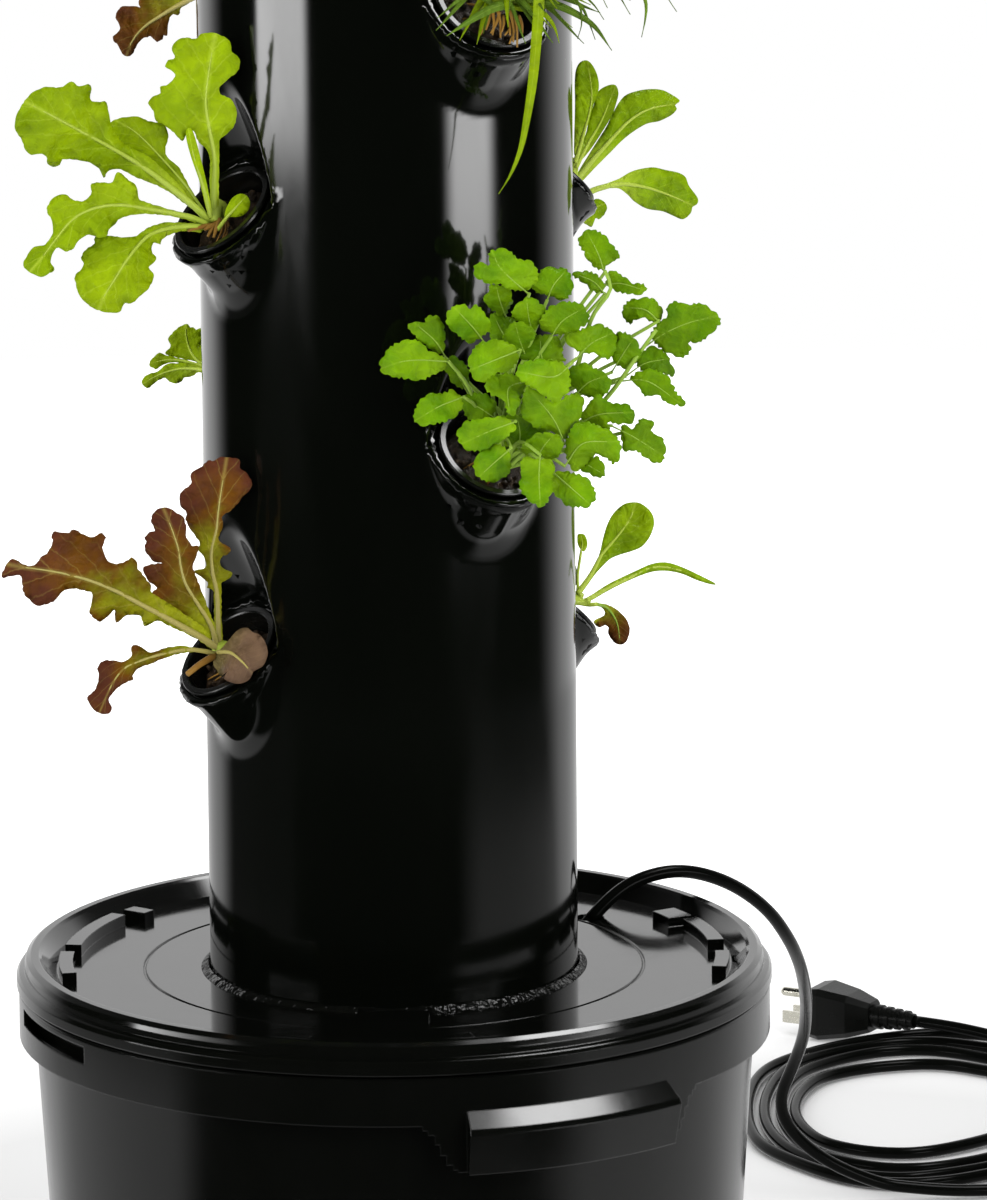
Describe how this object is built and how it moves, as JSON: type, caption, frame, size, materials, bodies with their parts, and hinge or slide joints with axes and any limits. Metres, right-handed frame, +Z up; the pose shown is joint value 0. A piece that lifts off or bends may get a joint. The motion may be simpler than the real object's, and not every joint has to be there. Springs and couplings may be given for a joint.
{
  "type": "vertical planter tower",
  "caption": "Tall black column with tilted plant pockets and net cups, standing in a round lidded water tub with a pump and mains lead.",
  "frame": {"origin": "centre of the flat underside of the water tub, on the floor", "axes": "+Z up the column; -Y is the front, with the grip hood towards +X"},
  "size_m": [0.5568, 0.9143, 1.176],
  "materials": {
    "tub_plastic": "glossy moulded polypropylene",
    "lid_plastic": "glossy moulded polypropylene",
    "column_plastic": "glossy black pipe plastic, heat formed round the pockets",
    "cap_plastic": "glossy moulded plastic",
    "cup_plastic": "satin moulded polypropylene",
    "foliage": "living leaves",
    "seal_rubber": "soft black rubber",
    "pump_plastic": "satin moulded plastic",
    "riser_plastic": "extruded pipe plastic",
    "dial_plastic": "satin moulded plastic",
    "impeller_plastic": "off-white engineering plastic",
    "magnet": "coated ferrite",
    "shaft_ceramic": "ground ceramic",
    "cord_sheath": "smooth flexible vinyl",
    "plug_plastic": "moulded flexible vinyl",
    "pin_metal": "bright drawn brass"
  },
  "bodies": {
    "reservoir": {"reservoir_tub": "tub_plastic", "cord_coil": "cord_sheath", "plug_body": "plug_plastic", "plug_pins": "pin_metal", "plug_relief": "plug_plastic", "pump_body": "pump_plastic", "pump_outlet": "pump_plastic", "suction_feet": "seal_rubber", "pump_cord_gland": "cord_sheath", "cord_inner": "cord_sheath", "riser_coupling": "riser_plastic", "riser_pipe": "riser_plastic", "spray_head": "pump_plastic", "rotor_shaft": "shaft_ceramic"},
    "lid": {"reservoir_lid": "lid_plastic", "foot_seal": "seal_rubber", "cord_lead": "cord_sheath"},
    "column": {"column_tube": "column_plastic", "drip_plate": "cap_plastic"},
    "cap": {"column_cap": "cap_plastic"},
    "pump_cover": {"pump_cover": "pump_plastic"},
    "flow_dial": {"flow_dial": "dial_plastic"},
    "rotor": {"impeller": "impeller_plastic", "rotor_magnet": "magnet"},
    "cup_01": {"net_cup_01": "cup_plastic", "plant_01": "foliage"},
    "cup_02": {"net_cup_02": "cup_plastic", "plant_02": "foliage"},
    "cup_03": {"net_cup_03": "cup_plastic", "plant_03": "foliage"},
    "cup_04": {"net_cup_04": "cup_plastic", "plant_04": "foliage"},
    "cup_05": {"net_cup_05": "cup_plastic", "plant_05": "foliage"},
    "cup_06": {"net_cup_06": "cup_plastic", "plant_06": "foliage"},
    "cup_07": {"net_cup_07": "cup_plastic", "plant_07": "foliage"},
    "cup_08": {"net_cup_08": "cup_plastic", "plant_08": "foliage"},
    "cup_09": {"net_cup_09": "cup_plastic", "plant_09": "foliage"},
    "cup_10": {"net_cup_10": "cup_plastic", "plant_10": "foliage"},
    "cup_11": {"net_cup_11": "cup_plastic", "plant_11": "foliage"},
    "cup_12": {"net_cup_12": "cup_plastic", "plant_12": "foliage"},
    "cup_13": {"net_cup_13": "cup_plastic", "plant_13": "foliage"},
    "cup_14": {"net_cup_14": "cup_plastic", "plant_14": "foliage"},
    "cup_15": {"net_cup_15": "cup_plastic", "plant_15": "foliage"},
    "cup_16": {"net_cup_16": "cup_plastic", "plant_16": "foliage"}
  },
  "joints": [
    {"name": "lid_lift", "type": "slide", "parent": "reservoir", "child": "lid", "axis": [0, 0, 1], "range_m": [0, 0.08]},
    {"name": "column_lift", "type": "slide", "parent": "reservoir", "child": "column", "axis": [0, 0, 1], "range_m": [0, 0.25]},
    {"name": "cap_lift", "type": "slide", "parent": "column", "child": "cap", "axis": [0, 0, 1], "range_m": [0, 0.06]},
    {"name": "pump_cover_slide", "type": "slide", "parent": "reservoir", "child": "pump_cover", "axis": [-0.7408, -0.6717, 0], "range_m": [0, 0.02]},
    {"name": "flow_dial_turn", "type": "hinge", "parent": "pump_cover", "child": "flow_dial", "pos_m": [-0.0267, 0.00414, 0.03], "axis": [-0.6717, 0.7408, 0], "range_deg": [0, 90]},
    {"name": "impeller_spin", "type": "hinge", "parent": "reservoir", "child": "rotor", "pos_m": [0, 0, 0.03], "axis": [0.7408, 0.6717, 0], "continuous": true},
    {"name": "cup_01_lift", "type": "slide", "parent": "column", "child": "cup_01", "axis": [-0.5612, -0.3644, 0.7431], "range_m": [0, 0.055]},
    {"name": "cup_02_lift", "type": "slide", "parent": "column", "child": "cup_02", "axis": [0.5612, 0.3644, 0.7431], "range_m": [0, 0.055]},
    {"name": "cup_03_lift", "type": "slide", "parent": "column", "child": "cup_03", "axis": [0.3644, -0.5612, 0.7431], "range_m": [0, 0.055]},
    {"name": "cup_04_lift", "type": "slide", "parent": "column", "child": "cup_04", "axis": [-0.3644, 0.5612, 0.7431], "range_m": [0, 0.055]},
    {"name": "cup_05_lift", "type": "slide", "parent": "column", "child": "cup_05", "axis": [-0.5612, -0.3644, 0.7431], "range_m": [0, 0.055]},
    {"name": "cup_06_lift", "type": "slide", "parent": "column", "child": "cup_06", "axis": [0.5612, 0.3644, 0.7431], "range_m": [0, 0.055]},
    {"name": "cup_07_lift", "type": "slide", "parent": "column", "child": "cup_07", "axis": [0.3644, -0.5612, 0.7431], "range_m": [0, 0.055]},
    {"name": "cup_08_lift", "type": "slide", "parent": "column", "child": "cup_08", "axis": [-0.3644, 0.5612, 0.7431], "range_m": [0, 0.055]},
    {"name": "cup_09_lift", "type": "slide", "parent": "column", "child": "cup_09", "axis": [-0.5612, -0.3644, 0.7431], "range_m": [0, 0.055]},
    {"name": "cup_10_lift", "type": "slide", "parent": "column", "child": "cup_10", "axis": [0.5612, 0.3644, 0.7431], "range_m": [0, 0.055]},
    {"name": "cup_11_lift", "type": "slide", "parent": "column", "child": "cup_11", "axis": [0.3644, -0.5612, 0.7431], "range_m": [0, 0.055]},
    {"name": "cup_12_lift", "type": "slide", "parent": "column", "child": "cup_12", "axis": [-0.3644, 0.5612, 0.7431], "range_m": [0, 0.055]},
    {"name": "cup_13_lift", "type": "slide", "parent": "column", "child": "cup_13", "axis": [-0.5612, -0.3644, 0.7431], "range_m": [0, 0.055]},
    {"name": "cup_14_lift", "type": "slide", "parent": "column", "child": "cup_14", "axis": [0.5612, 0.3644, 0.7431], "range_m": [0, 0.055]},
    {"name": "cup_15_lift", "type": "slide", "parent": "column", "child": "cup_15", "axis": [0.3644, -0.5612, 0.7431], "range_m": [0, 0.055]},
    {"name": "cup_16_lift", "type": "slide", "parent": "column", "child": "cup_16", "axis": [-0.3644, 0.5612, 0.7431], "range_m": [0, 0.055]}
  ]
}
